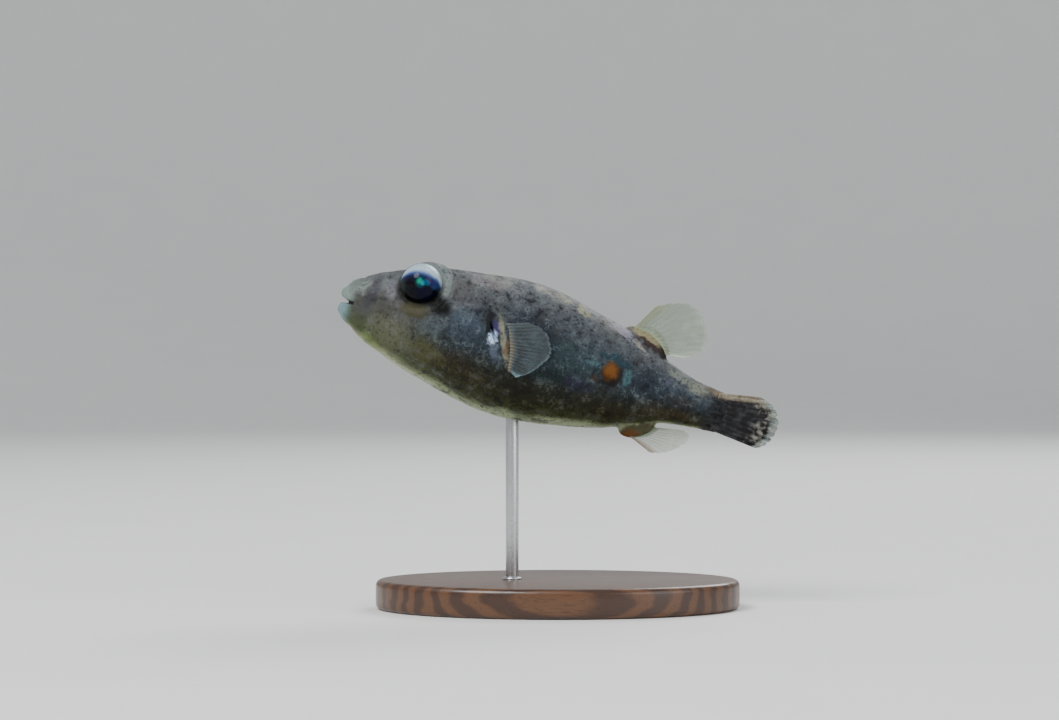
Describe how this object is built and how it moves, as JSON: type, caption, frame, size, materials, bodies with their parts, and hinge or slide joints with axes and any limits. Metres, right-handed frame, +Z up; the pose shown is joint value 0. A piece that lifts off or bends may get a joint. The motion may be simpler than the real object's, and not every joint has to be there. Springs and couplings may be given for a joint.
{
  "type": "freshwater pufferfish model",
  "caption": "Life-size young freshwater pufferfish with large eyes, parted lips and spread fins, held nose up by a rod on an oval display base.",
  "frame": {"origin": "middle of the base's underside, under the middle of the fish's length", "axes": "-X towards the fish's nose, +X towards its tail, +Z up, -Y towards its left flank"},
  "size_m": [0.0679, 0.036, 0.0533],
  "materials": {
    "skin": "olive grey skin with pale saddles and worm lines, slightly moist",
    "lips": "pale bluish, smooth",
    "beak": "ivory enamel",
    "eye": "wet black pupil, dark blue-green iris with a silver rim",
    "fin": "translucent web between paler rays",
    "tail_fin": "dark rays, cream upper edge, pale clear rim",
    "stand_wood": "dark stained, satin varnish",
    "stand_steel": "brushed"
  },
  "bodies": {
    "root": {"lip_upper": "lips", "lip_lower": "lips", "beak_upper": "beak", "beak_lower": "beak", "head": "skin", "trunk": "skin", "tail_stalk": "skin", "eye_left": "eye", "eye_right": "eye", "fin_dorsal": "fin", "fin_anal": "fin", "fin_pectoral_left": "fin", "fin_pectoral_right": "fin", "fin_tail": "tail_fin", "stand_base": "stand_wood", "stand_rod": "stand_steel"}
  },
  "joints": []
}
